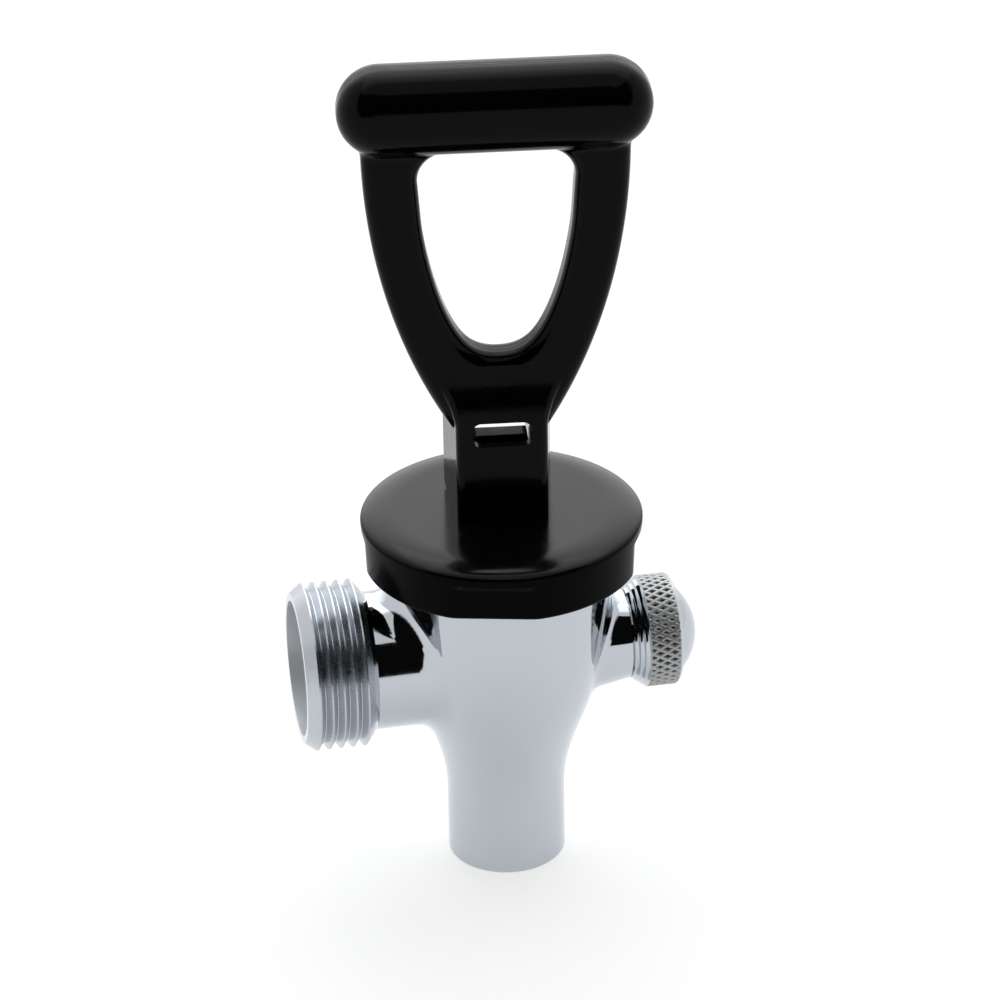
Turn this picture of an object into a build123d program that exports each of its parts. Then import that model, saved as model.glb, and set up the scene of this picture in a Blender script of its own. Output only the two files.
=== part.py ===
from build123d import *
from math import atan2, cos, degrees, radians, sin, tan
import os

# Millimetres. +X runs along the inlet shank, from its open end towards the clean-out
# cap; +Z is up; the origin is on the shank's axis, at the first crest of its thread.

# Inlet thread: one inch, fourteen turns to the inch.
INCH = 25.4
THREAD_R = INCH / 2
PITCH = INCH / 14
THREAD_DEPTH = 0.6134 * PITCH
CREST_FLAT = PITCH / 8
THREAD_TURNS = 4
END_R = 11.4
END_CHAMFER = 1.7
RUN_OUT = 1.8

# Casting: barrel, shank, clean-out boss and spout.
BARREL_X = 30.1
COLLAR_R = 16.0
BARREL_FLARE_Z = 8.0
BARREL_WAIST_R = 12.6
BARREL_WAIST_Z = -9.9
SPOUT_R = 9.05
SPOUT_TOP_Z = -24.5
SPOUT_END_Z = -35.4
SPOUT_LIP = 0.7
SPOUT_BORE_R = 6.6
NECK_R = 10.5
NECK_FILLET = 5.0
BOSS_R = 6.9
BOSS_ROOT_R = 8.7
BOSS_FILLET = 2.4
CHAMBER_R = 13.4
CHAMBER_FLOOR_Z = -3.0
SEAT_Z = -11.5
SEAT_RING_R = 8.6
INLET_BORE_R = 10.2
INLET_BORE_LENGTH = 9.0
NECK_BORE_R = 8.2

# Bonnet: cap nut with wrench flats under its rim.
RIM_R = 21.15
RIM_ROUND = 1.3
RIM_UNDER_ROUND = 0.9
BONNET_FOOT_R = 20.9
BONNET_FOOT_ROUND = 0.6
BONNET_BOTTOM_Z = 15.7
BONNET_TOP_Z = 24.2
BONNET_WEB = 3.7
FLAT_COUNT = 4
FLAT_HALF_ANGLE = 17.5
FLAT_TOP_BELOW_RIM = 3.4
FLAT_CORNER = 2.0
BONNET_TURN = -14.0

# Seat cup, stem and spring.
CUP_R = 10.6
CUP_WALL = 1.2
CUP_FLANGE = 1.5
PLUG_R = 7.8
PLUG_TOP_Z = -3.4
CUP_SHOULDER_Z = 2.0
STEM_R = 2.75
BULB_R = 4.0
BULB_LENGTH = 3.0
BULB_BOTTOM_Z = -8.4
COLLAR_TOP_Z = 1.0
STEM_COLLAR_R = 4.2
STEM_COLLAR_LENGTH = 1.6
WASHER_R = 7.6
WASHER_THICK = 1.0
SPRING_R = 5.6
WIRE_R = 0.55
SPRING_TURNS = 6

# Handle: grip bar, two legs round a finger loop, and a cam stalk.
HANDLE_TURN = -6.5
BAR_LENGTH = 45.4
BAR_HEIGHT = 12.8
BAR_DEPTH = 12.8
BAR_ROUND = 5.6
BAR_TOP_Z = 95.1
LEG_DEPTH = 6.6
LEG_ROUND = 2.2
LEG_W = 7.7
LEG_TOP_HALF = 19.4
LEG_SHOULDER_HALF = 18.35
LEG_SHOULDER_DROP = 13.1
LEG_KNEE_HALF = 13.85
LEG_KNEE_RISE = 1.7
LEG_INTO_BAR = 3.6
LOOP_BOTTOM_Z = 50.2
LOOP_FOOT_HALF = 6.0
LOOP_FOOT_RISE = 3.6
LOOP_CORNER = 4.2
STALK_W = 16.2
STALK_FRONT = 5.0
STALK_BACK = 8.2
STALK_DRAFT = 1.4
STALK_FRONT_ROUND = 1.2
STALK_BACK_ROUND = 0.6
STALK_HEEL = 2.6
SHOULDER_Z = 39.0
SHOULDER_RISE = 10.0
SHOULDER_INSET = 0.9
JUNCTION_ROUND = 1.8
PIN_ABOVE_TOP = 7.0
CAM_RISE = 4.0
CAM_TILT = 26.0
SLOT_W = 8.6
SLOT_TOP_ABOVE_PIN = 9.2
SLOT_FRONT = 3.6
WINDOW_HEIGHT = 3.8
WINDOW_ROUND = 1.2
PIN_R = 1.2
PIN_BLIND = 1.2
EYE_R = 3.0
EYE_NOSE = 1.1
EYE_TOP = 5.0
EYE_ROUND = 0.8

# Clean-out cap, measured along X from the barrel's axis.
BOSS_SHOULDER = 18.7
SPIGOT_R = 5.6
SPIGOT_END = 24.0
CLEANOUT_BORE_R = 4.2
CAP_R = 8.55
CAP_START = 19.0
CAP_CONE_END = 21.2
CAP_RIM = 26.3
CAP_EDGE_ROUND = 0.8
DOME_BASE_R = 7.0
DOME_TIP = 29.7
GASKET_THICK = 1.2

# Fits, all radial or per side.
RUNNING = 0.06
SCREWED = 0.08
SNAP = 0.05
SNUG = 0.01
SLOT_SIDE = 0.15
SUNK = 0.05
CUT_REACH = 40.0

AXIS = Axis((BARREL_X, 0, 0), (0, 0, 1))
COLLAR_TOP = BONNET_TOP_Z - BONNET_WEB - CUP_FLANGE
PIN_Z = BONNET_TOP_Z + PIN_ABOVE_TOP
EYE_W = SLOT_W - 2 * SLOT_SIDE
BAR_BOTTOM = BAR_TOP_Z - BAR_HEIGHT


def turned(points, z_axis=True):
    """Solid of revolution from (radius, station) points about the barrel or the shank."""
    if z_axis:
        outline = Polyline(*[(BARREL_X + r, 0, s) for r, s in points], close=True)
        return revolve(make_face(outline), AXIS)
    outline = Polyline(*[(s, 0, r) for r, s in points], close=True)
    return revolve(make_face(outline), Axis.X)


def barrel_outside():
    """Spout tube flowing through a long flare into the threaded collar."""
    foot = (BARREL_X + SPOUT_R, 0, SPOUT_TOP_Z)
    waist = (BARREL_X + BARREL_WAIST_R, 0, BARREL_WAIST_Z)
    collar = (BARREL_X + COLLAR_R, 0, BARREL_FLARE_Z)
    flare = Spline(foot, waist, collar, tangents=[(0, 0, 1), (0, 0, 1)])
    rest = Polyline(
        collar,
        (BARREL_X + COLLAR_R, 0, COLLAR_TOP),
        (BARREL_X, 0, COLLAR_TOP),
        (BARREL_X, 0, SPOUT_END_Z),
        (BARREL_X + SPOUT_R, 0, SPOUT_END_Z),
        foot,
    )
    solid = revolve(make_face(flare + rest), AXIS)
    lip = solid.edges().filter_by(GeomType.CIRCLE).sort_by(Axis.Z)[0]
    return fillet(lip, SPOUT_LIP).rotate(AXIS, 90)


def thread_outline():
    """Radius and station along the shank: chamfered end, ridges, run-out to the neck."""
    root = THREAD_R - THREAD_DEPTH
    points = [(END_R, -END_CHAMFER), (THREAD_R, 0)]
    for turn in range(THREAD_TURNS):
        crest = turn * PITCH
        points.append((THREAD_R, crest + CREST_FLAT))
        points.append((root, crest + CREST_FLAT + PITCH * 7 / 16 - CREST_FLAT / 4))
        points.append((root, crest + CREST_FLAT + PITCH * 7 / 16 + CREST_FLAT / 4))
        points.append((THREAD_R, crest + PITCH))
    run_out = THREAD_TURNS * PITCH + CREST_FLAT
    points.append((THREAD_R, run_out))
    points.append((NECK_R, run_out + RUN_OUT))
    return points


def shank_outside():
    """Threaded inlet shank reaching into the barrel."""
    return turned([(0, -END_CHAMFER)] + thread_outline() + [(NECK_R, BARREL_X), (0, BARREL_X)], False)


def boss_outside():
    """Clean-out boss on the side opposite the inlet, ending in a threaded spigot."""
    shoulder = BARREL_X + BOSS_SHOULDER
    end = BARREL_X + SPIGOT_END
    root = BARREL_X + SPOUT_R
    return turned([
        (0, root), (BOSS_ROOT_R, root), (BOSS_R, shoulder),
        (SPIGOT_R, shoulder), (SPIGOT_R, end), (0, end),
    ], False)


def water_way():
    """Everything hollow in the casting, as one solid."""
    chamber = turned([
        (0, COLLAR_TOP + 1), (CHAMBER_R, COLLAR_TOP + 1), (CHAMBER_R, CHAMBER_FLOOR_Z),
        (SEAT_RING_R, SEAT_Z), (SPOUT_BORE_R, SEAT_Z), (SPOUT_BORE_R, SPOUT_END_Z - 1), (0, SPOUT_END_Z - 1),
    ])
    mouth = -END_CHAMFER - 1
    step = INLET_BORE_LENGTH - END_CHAMFER
    inlet = turned([
        (0, mouth), (INLET_BORE_R, mouth), (INLET_BORE_R, step),
        (NECK_BORE_R, step + INLET_BORE_R - NECK_BORE_R), (NECK_BORE_R, BARREL_X), (0, BARREL_X),
    ], False)
    cleanout = Pos(BARREL_X, 0, 0) * Rot(0, 90, 0) * Cylinder(
        CLEANOUT_BORE_R, SPIGOT_END + 1, align=(Align.CENTER, Align.CENTER, Align.MIN))
    return chamber + inlet + cleanout


def valve_body():
    """Chromed casting: barrel, spout, threaded shank and clean-out boss in one piece."""
    whole = barrel_outside() + boss_outside()
    seam = [e for e in whole.edges().filter_by(GeomType.BSPLINE) if e.center().X > BARREL_X + SPOUT_R]
    whole = fillet(seam, BOSS_FILLET) + shank_outside()
    seam = [e for e in whole.edges().filter_by(GeomType.BSPLINE) if e.center().X < BARREL_X - SPOUT_R]
    return fillet(seam, NECK_FILLET) - water_way()


def bonnet_skirt():
    """Tapered lower half of the bonnet, with soft-cornered wrench flats round it."""
    rim_z = BONNET_TOP_Z - RIM_ROUND
    flat_top = BONNET_TOP_Z - FLAT_TOP_BELOW_RIM
    taper = atan2(RIM_R - BONNET_FOOT_R, rim_z - BONNET_BOTTOM_Z)
    top_r = RIM_R - (rim_z - flat_top) * tan(taper)
    apothem = top_r * cos(radians(FLAT_HALF_ANGLE))
    flats = RegularPolygon(apothem, FLAT_COUNT, major_radius=False, rotation=180 / FLAT_COUNT)
    plan = Circle(top_r) & flats
    plan = fillet(plan.vertices(), FLAT_CORNER)
    skirt = extrude(plan, BONNET_BOTTOM_Z - flat_top, taper=degrees(taper))
    foot = skirt.faces().sort_by(Axis.Z)[0].edges()
    return Pos(BARREL_X, 0, flat_top) * Rot(0, 0, BONNET_TURN) * fillet(foot, BONNET_FOOT_ROUND)


def bonnet():
    """Cap nut that clamps the seat cup's flange on the collar and guides the stem."""
    bore = COLLAR_R + SCREWED
    ceiling = BONNET_TOP_Z - BONNET_WEB
    stem_hole = STEM_R + RUNNING
    flat_top = BONNET_TOP_Z - FLAT_TOP_BELOW_RIM
    rim = turned([(0, BONNET_TOP_Z), (RIM_R, BONNET_TOP_Z), (RIM_R, flat_top), (0, flat_top)])
    circles = rim.edges().filter_by(GeomType.CIRCLE).sort_by(Axis.Z)
    rim = fillet(circles[-1], RIM_ROUND)
    circles = rim.edges().filter_by(GeomType.CIRCLE).sort_by(Axis.Z)
    rim = fillet(circles[0], RIM_UNDER_ROUND)
    return rim + bonnet_skirt() - turned([
        (0, BONNET_BOTTOM_Z - 1), (bore, BONNET_BOTTOM_Z - 1), (bore, ceiling),
        (stem_hole, ceiling), (stem_hole, BONNET_TOP_Z + 1), (0, BONNET_TOP_Z + 1),
    ])


def stem_outline(grow):
    """Lower stem radii and heights, grown by a clearance for the pocket it snaps into."""
    bulb_top = BULB_BOTTOM_Z + BULB_LENGTH
    collar_low = COLLAR_TOP_Z - STEM_COLLAR_LENGTH
    return [
        (0, BULB_BOTTOM_Z - grow), (BULB_R + grow, BULB_BOTTOM_Z - grow), (BULB_R + grow, bulb_top + grow),
        (STEM_R + grow, bulb_top + grow), (STEM_R + grow, collar_low), (STEM_COLLAR_R + grow, collar_low),
        (STEM_COLLAR_R + grow, COLLAR_TOP_Z),
    ]


def seat_cup():
    """Silicone cup: clamped flange, thin bell round the spring, and the plug on the seat."""
    flange_top = COLLAR_TOP + CUP_FLANGE
    inner = CUP_R - CUP_WALL
    shell = turned([
        (0, SEAT_Z), (PLUG_R, SEAT_Z), (PLUG_R, PLUG_TOP_Z), (CUP_R, CUP_SHOULDER_Z), (CUP_R, COLLAR_TOP),
        (COLLAR_R - SCREWED, COLLAR_TOP), (COLLAR_R - SCREWED, flange_top), (inner, flange_top),
        (inner, CUP_SHOULDER_Z + CUP_WALL / 2), (PLUG_R - CUP_WALL, PLUG_TOP_Z + CUP_WALL),
        (0, PLUG_TOP_Z + CUP_WALL),
    ])
    return shell - turned(stem_outline(SNAP) + [(0, COLLAR_TOP_Z)])


def stem():
    """Moulded stem: snap bulb, spring collar, shaft and the eye that the handle turns on."""
    shaft_top = PIN_Z - PIN_R - RUNNING - STEM_R / 4
    shaft = turned(stem_outline(0) + [(STEM_R, COLLAR_TOP_Z), (STEM_R, shaft_top), (0, shaft_top)])
    head = Box(EYE_W, EYE_NOSE + EYE_R, EYE_TOP, align=(Align.CENTER, Align.MIN, Align.MIN))
    head = Pos(0, -EYE_NOSE, 0) * fillet(head.edges().group_by(Axis.Z)[-1], EYE_ROUND)
    eye = Rot(0, 90, 0) * Cylinder(EYE_R, EYE_W) + head - Rot(0, 90, 0) * Cylinder(PIN_R + RUNNING, EYE_W)
    return shaft + placed(Pos(0, 0, PIN_Z) * eye)


def spring_washer():
    """Flat washer on the stem's collar, under the spring."""
    top = COLLAR_TOP_Z + WASHER_THICK
    hole = STEM_R + RUNNING
    return turned([(hole, COLLAR_TOP_Z), (WASHER_R, COLLAR_TOP_Z), (WASHER_R, top), (hole, top)])


def spring():
    """Closing spring between the washer and the bonnet's ceiling."""
    low = COLLAR_TOP_Z + WASHER_THICK + WIRE_R
    high = BONNET_TOP_Z - BONNET_WEB - WIRE_R
    path = Pos(BARREL_X, 0, low) * Helix((high - low) / SPRING_TURNS, high - low, SPRING_R)
    return sweep(Plane(path @ 0, z_dir=path % 0) * Circle(WIRE_R), path, is_frenet=True)


def leg_outline():
    """Right-hand outline of the legs, from the stalk up into the bar."""
    return Spline(
        (STALK_W / 2 - STALK_DRAFT, SHOULDER_Z - STALK_DRAFT),
        (LEG_KNEE_HALF, LOOP_BOTTOM_Z + LEG_KNEE_RISE),
        (LEG_SHOULDER_HALF, BAR_BOTTOM - LEG_SHOULDER_DROP),
        (LEG_TOP_HALF, BAR_BOTTOM + LEG_INTO_BAR),
    )


def shoulder_outline():
    """Right-hand outline of the thick shoulder, from the stalk's front edge to just inside the legs."""
    return Spline(
        (STALK_W / 2 - STALK_DRAFT, SHOULDER_Z - STALK_DRAFT),
        (LEG_KNEE_HALF - SHOULDER_INSET, LOOP_BOTTOM_Z + LEG_KNEE_RISE),
        tangents=[(0, 1), (LEG_SHOULDER_HALF - STALK_W / 2, BAR_BOTTOM - LEG_SHOULDER_DROP - SHOULDER_Z)],
    )


def loop_outline():
    """Right-hand outline of the finger loop, from the middle of its foot to its top."""
    return Spline(
        (0, LOOP_BOTTOM_Z),
        (LOOP_FOOT_HALF, LOOP_BOTTOM_Z + LOOP_FOOT_RISE),
        (LEG_SHOULDER_HALF - LEG_W, BAR_BOTTOM - LEG_SHOULDER_DROP),
        (LEG_TOP_HALF - LEG_W, BAR_BOTTOM + SUNK),
        tangents=[(1, 0), (LEG_TOP_HALF - LEG_SHOULDER_HALF, LEG_SHOULDER_DROP)],
    )


def symmetric_face(right):
    """Face between a right-hand curve and its mirror image, closed by straight lines."""
    left = mirror(right, Plane.YZ)
    outline = right + left + Line(right @ 1, left @ 1)
    if (right @ 0).X > 0:
        outline += Line(right @ 0, left @ 0)
    return make_face(outline)


def loop_plate():
    """Legs and finger loop as one flat, well rounded plate."""
    hole = symmetric_face(loop_outline())
    hole = fillet(hole.vertices().group_by(Axis.Y)[-1], LOOP_CORNER)
    plate = extrude(Plane.XZ * symmetric_face(leg_outline()), LEG_DEPTH / 2, both=True)
    plate -= extrude(Plane.XZ * hole, LEG_DEPTH, both=True)
    foot, top = SHOULDER_Z, BAR_BOTTOM + LEG_INTO_BAR / 2
    faces = [e for e in plate.edges() if abs(abs(e.center().Y) - LEG_DEPTH / 2) < SNUG]
    return fillet([e for e in faces if foot < e.center().Z < top], LEG_ROUND)


def grip_bar():
    """Grip bar with round ends and soft edges."""
    centre = BAR_TOP_Z - BAR_HEIGHT / 2
    bar = extrude(Plane.XZ * Pos(0, centre) * SlotOverall(BAR_LENGTH, BAR_HEIGHT), BAR_DEPTH / 2, both=True)
    rims = [e for e in bar.edges() if abs(abs(e.center().Y) - BAR_DEPTH / 2) < SNUG]
    return fillet(rims, BAR_ROUND)


def cam_curve():
    """Cam from its rest contact backwards: it lifts the pin by CAM_RISE for each radian."""
    points = []
    for step in range(9):
        angle = radians(CAM_TILT) * step / 8
        reach = PIN_ABOVE_TOP + CAM_RISE * angle
        behind = reach * sin(angle) + CAM_RISE * cos(angle)
        down = reach * cos(angle) - CAM_RISE * sin(angle)
        points.append((behind, PIN_Z - down))
    return points


def stalk_side():
    """Side view of the stalk as (y, z): front face, flat foot, cam, heel and the sweeps into the legs."""
    cam = cam_curve()
    half_leg = LEG_DEPTH / 2 - SUNK
    top = SHOULDER_Z + SHOULDER_RISE
    upright = [(0, 1), (0, 1)]
    front = Spline((-STALK_FRONT, SHOULDER_Z), (-half_leg, top), tangents=upright)
    back = Spline((STALK_BACK, SHOULDER_Z), (half_leg, top), tangents=upright)
    foot = Polyline((-STALK_FRONT, SHOULDER_Z), (-STALK_FRONT, BONNET_TOP_Z), cam[0])
    heel = Polyline(cam[-1], (STALK_BACK, cam[-1][1] + STALK_HEEL), (STALK_BACK, SHOULDER_Z))
    return make_face(foot + Spline(*cam) + heel + back + Line((half_leg, top), (-half_leg, top)) + front)


def shoulder():
    """Thick shoulder that flares out and sweeps back from the stalk into the legs."""
    flare = extrude(Plane.XZ * symmetric_face(shoulder_outline()), CUT_REACH, both=True)
    solid = flare & extrude(Plane.YZ * stalk_side(), CUT_REACH, both=True)
    low, high = solid.bounding_box().min.Z + SUNK, solid.bounding_box().max.Z - SUNK
    sides = [e for e in solid.edges() if low < e.center().Z < high and abs(e.center().X) > STALK_DRAFT]
    solid = fillet([e for e in sides if e.center().Y < 0], STALK_FRONT_ROUND)
    sides = [e for e in solid.edges() if low < e.center().Z < high and abs(e.center().X) > STALK_DRAFT]
    return fillet([e for e in sides if e.center().Y > STALK_FRONT_ROUND], STALK_BACK_ROUND)


def stalk():
    """Cam stalk, narrower in front than behind, widening upwards into the legs."""
    back = STALK_W / 2
    front = back - STALK_DRAFT
    corners = [(-front, -STALK_FRONT), (front, -STALK_FRONT), (back, STALK_BACK), (-back, STALK_BACK)]
    plan = make_face(Polyline(*corners, close=True))
    plan = fillet(plan.vertices().group_by(Axis.Y)[0], STALK_FRONT_ROUND)
    plan = fillet(plan.vertices().group_by(Axis.Y)[-1], STALK_BACK_ROUND)
    cheeks = Pos(0, 0, BONNET_TOP_Z - 1) * extrude(plan, SHOULDER_Z + SHOULDER_RISE / 2 - BONNET_TOP_Z)
    return (cheeks & extrude(Plane.YZ * stalk_side(), CUT_REACH, both=True)) + shoulder()


def handle_cuts():
    """Pocket for the eye, open below and behind, its window in front, and the pin's blind hole."""
    ceiling = PIN_Z + SLOT_TOP_ABOVE_PIN
    below = (Align.CENTER, Align.MIN, Align.MAX)
    ahead = (Align.CENTER, Align.MAX, Align.MAX)
    pocket = Pos(0, -SLOT_FRONT, ceiling) * Box(SLOT_W, CUT_REACH, CUT_REACH, align=below)
    window = Pos(0, 0, ceiling) * Box(SLOT_W, CUT_REACH, WINDOW_HEIGHT, align=ahead)
    hole = Pos(pin_start(), 0, PIN_Z) * Rot(0, 90, 0) * Cylinder(
        PIN_R + SNUG, STALK_W, align=(Align.CENTER, Align.CENTER, Align.MIN))
    return pocket + fillet(window.edges().filter_by(Axis.Y), WINDOW_ROUND) + hole


def placed(solid):
    """Handle pieces turned to the angle they are left at, on the barrel's axis."""
    return Pos(BARREL_X, 0, 0) * Rot(0, 0, HANDLE_TURN) * solid


def handle():
    """Moulded handle: grip bar, finger loop and cam stalk in one piece."""
    whole = loop_plate() + stalk() - handle_cuts() + grip_bar()
    near_bar = [e for e in whole.edges() if BAR_BOTTOM - SUNK < e.center().Z < BAR_BOTTOM + LEG_INTO_BAR]
    seam = [e for e in near_bar if abs(e.center().Y) < LEG_DEPTH / 2 + SUNK and abs(e.center().X) > LEG_W]
    return placed(fillet(seam, JUNCTION_ROUND))


def pin_start():
    """Where the pin's blind hole ends inside the left cheek."""
    return PIN_BLIND - STALK_W / 2 + PIN_R


def handle_pin():
    """Cross pin, in from one side and blind on the other."""
    length = STALK_W / 2 - PIN_BLIND - pin_start()
    return placed(Pos(pin_start(), 0, PIN_Z) * Rot(0, 90, 0) * Cylinder(
        PIN_R, length, align=(Align.CENTER, Align.CENTER, Align.MIN)))


def clean_out_cap():
    """Knurled cap, coned on its inner side and domed on its end."""
    bore = SPIGOT_R + SCREWED
    start = BARREL_X + CAP_START
    rim = BARREL_X + CAP_RIM
    floor = BARREL_X + SPIGOT_END + GASKET_THICK
    tip = BARREL_X + DOME_TIP
    height = DOME_TIP - CAP_RIM
    dome_r = (DOME_BASE_R ** 2 + height ** 2) / (2 * height)
    half = DOME_BASE_R / 2
    shoulder = tip - dome_r + (dome_r ** 2 - half ** 2) ** 0.5
    edge = CAP_R - CAP_EDGE_ROUND
    turn = CAP_EDGE_ROUND * (1 - cos(radians(45)))
    outline = Polyline(
        (tip, 0, 0), (floor, 0, 0), (floor, 0, bore), (start, 0, bore), (start, 0, BOSS_R),
        (BARREL_X + CAP_CONE_END, 0, CAP_R), (rim - CAP_EDGE_ROUND, 0, CAP_R),
    )
    outline += ThreePointArc((rim - CAP_EDGE_ROUND, 0, CAP_R), (rim - turn, 0, CAP_R - turn), (rim, 0, edge))
    outline += Line((rim, 0, edge), (rim, 0, DOME_BASE_R))
    outline += ThreePointArc((rim, 0, DOME_BASE_R), (shoulder, 0, half), (tip, 0, 0))
    return revolve(make_face(outline), Axis.X)


def cap_gasket():
    """Rubber disc between the spigot's end and the cap's floor."""
    start = BARREL_X + SPIGOT_END
    end = start + GASKET_THICK
    return turned([(0, start), (SPIGOT_R, start), (SPIGOT_R, end), (0, end)], False)


NODES = {
    "valve_body": valve_body,
    "bonnet": bonnet,
    "seat_cup": seat_cup,
    "stem": stem,
    "spring_washer": spring_washer,
    "spring": spring,
    "handle": handle,
    "handle_pin": handle_pin,
    "clean_out_cap": clean_out_cap,
    "cap_gasket": cap_gasket,
}

os.makedirs("parts", exist_ok=True)
for name, make in NODES.items():
    export_step(make(), f"parts/{name}.step")
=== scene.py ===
"""Dresses the beverage dispenser faucet and sets up its studio picture.

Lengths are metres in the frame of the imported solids: +X runs along the inlet shank towards the
clean-out cap, +Z is up, and the origin is on the shank's axis at the first crest of its thread.
"""

import logging
import math
from abc import ABC, abstractmethod
from dataclasses import dataclass
from enum import Enum
from typing import Dict, Optional, Sequence, Tuple, Union

import bmesh
import bpy
import numpy as np
from mathutils import Euler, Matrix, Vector


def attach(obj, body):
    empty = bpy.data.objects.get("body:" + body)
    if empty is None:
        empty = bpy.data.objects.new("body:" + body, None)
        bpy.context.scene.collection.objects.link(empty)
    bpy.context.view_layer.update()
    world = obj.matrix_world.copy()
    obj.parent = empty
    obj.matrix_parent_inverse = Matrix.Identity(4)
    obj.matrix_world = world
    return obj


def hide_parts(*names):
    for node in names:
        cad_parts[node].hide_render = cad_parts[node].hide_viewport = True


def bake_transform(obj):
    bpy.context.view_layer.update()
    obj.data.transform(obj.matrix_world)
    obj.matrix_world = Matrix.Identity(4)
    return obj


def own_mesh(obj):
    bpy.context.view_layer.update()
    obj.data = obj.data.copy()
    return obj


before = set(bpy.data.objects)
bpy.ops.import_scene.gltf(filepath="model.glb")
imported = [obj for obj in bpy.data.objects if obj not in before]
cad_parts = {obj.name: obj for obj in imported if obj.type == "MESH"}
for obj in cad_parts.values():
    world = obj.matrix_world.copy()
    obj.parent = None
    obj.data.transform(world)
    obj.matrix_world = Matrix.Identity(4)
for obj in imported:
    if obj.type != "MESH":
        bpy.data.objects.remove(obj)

LOG = logging.getLogger("faucet")
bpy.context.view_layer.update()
MM = 0.001
MERGE_DISTANCE = 1e-7
FULL_TURN = 2.0 * np.pi
QUARTER_TURN = np.pi / 2
UNIT = (0.0, 1.0)

Colour = Tuple[float, float, float]
Span = Tuple[float, float]
Socket = bpy.types.NodeSocket
Value = Union[float, Socket]


class Body(str, Enum):
    """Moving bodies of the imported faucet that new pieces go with."""

    CASTING = "body"
    LIFTER = "lifter"
    CAP = "cap"


class Slot(str, Enum):
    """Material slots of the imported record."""

    CHROME = "chrome"
    BLACK = "black_plastic"
    SILICONE = "silicone"
    STEEL = "steel"


class TurningAxis(Enum):
    """Axis that a turned piece is spun about."""

    BARREL = "barrel"
    SHANK = "shank"


@dataclass(frozen=True)
class Layout:
    """Places that the sub-assemblies share.

    Attributes:
        barrel_x: Distance of the barrel's axis from the origin.
        handle_turn: Angle in degrees that the handle is left at, about the barrel.
        ceiling: Height of the bonnet's inner top, which the spring and the cup bear on.
    """

    barrel_x: float = 30.1 * MM
    handle_turn: float = -6.5
    ceiling: float = 20.5 * MM


LAYOUT = Layout()


# Surfaces


@dataclass
class GridSurface:
    """A surface given as a grid of points, whose last column joins its first.

    Attributes:
        points: Array of shape (rows, columns, 3).
        wrap_rows: Whether the last row joins the first.
    """

    points: np.ndarray
    wrap_rows: bool = False

    def quads(self) -> np.ndarray:
        """Corner numbers of every face.

        Returns:
            Array of shape (faces, 4), each face between neighbouring rows and columns.
        """
        rows, columns = self.points.shape[:2]
        index = np.arange(rows * columns).reshape(rows, columns)
        if self.wrap_rows:
            index = np.vstack([index, index[:1]])
        index = np.hstack([index, index[:, :1]])
        corners = (index[:-1, :-1], index[:-1, 1:], index[1:, 1:], index[1:, :-1])
        return np.stack(corners, axis=-1).reshape(-1, 4)

    def build(self, name: str, sharp_angle: float = 35.0) -> bpy.types.Object:
        """Makes the mesh object, with seams and poles merged and faces outwards.

        Args:
            name: Name of the piece.
            sharp_angle: Edges that bend by more than this, in degrees, stay sharp.

        Returns:
            The object, at the origin and linked to the scene.
        """
        mesh = bpy.data.meshes.new(name)
        mesh.from_pydata(self.points.reshape(-1, 3).tolist(), [], self.quads().tolist())
        work = bmesh.new()
        work.from_mesh(mesh)
        bmesh.ops.remove_doubles(work, verts=work.verts, dist=MERGE_DISTANCE)
        bmesh.ops.recalc_face_normals(work, faces=work.faces)
        work.to_mesh(mesh)
        work.free()
        mesh.shade_smooth()
        mesh.set_sharp_from_angle(angle=math.radians(sharp_angle))
        piece = bpy.data.objects.new(name, mesh)
        bpy.context.scene.collection.objects.link(piece)
        return piece


def around(steps: int) -> np.ndarray:
    """Evenly spaced angles of one full turn, without the repeated last one."""
    return np.linspace(0.0, FULL_TURN, steps, endpoint=False)


def sampled(corners: Sequence[Tuple[float, float]], spacing: float) -> np.ndarray:
    """Points along a broken line, no further apart than a spacing.

    Each run is divided evenly, and every corner is kept.

    Args:
        corners: Corners of the line as (radius, station).
        spacing: Greatest distance between neighbouring points.

    Returns:
        Array of shape (points, 2).
    """
    ends = np.asarray(corners, float)
    runs = [
        np.linspace(a, b, max(2, int(np.ceil(np.linalg.norm(b - a) / spacing)) + 1))[:-1]
        for a, b in zip(ends[:-1], ends[1:])
    ]
    return np.vstack(runs + [ends[-1:]])


def spun(radius: np.ndarray, station: np.ndarray, angle: np.ndarray,
         axis: TurningAxis) -> np.ndarray:
    """Spins a profile, as (r cos a, r sin a) across the axis and the station along it.

    Args:
        radius: Radius of every grid point, of shape (rows, columns).
        station: Place along the axis, of shape (rows, columns) or (rows, 1).
        angle: Angle of each column, of shape (columns,).
        axis: Axis to spin about.

    Returns:
        Points of shape (rows, columns, 3).
    """
    across = radius * np.cos(angle)
    aside = radius * np.sin(angle)
    along = np.broadcast_to(station, radius.shape)
    if axis is TurningAxis.BARREL:
        return np.stack([LAYOUT.barrel_x + across, aside, along], axis=-1)
    return np.stack([along, across, aside], axis=-1)


def turned(profile: np.ndarray, steps: int, axis: TurningAxis) -> GridSurface:
    """Surface of revolution: every profile point (r, s) is carried round the axis.

    Args:
        profile: Points of shape (rows, 2) as (radius, station).
        steps: Number of columns round the axis.
        axis: Axis to spin about.

    Returns:
        The surface.
    """
    radius = np.repeat(profile[:, :1], steps, axis=1)
    return GridSurface(spun(radius, profile[:, 1:], around(steps), axis))


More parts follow.
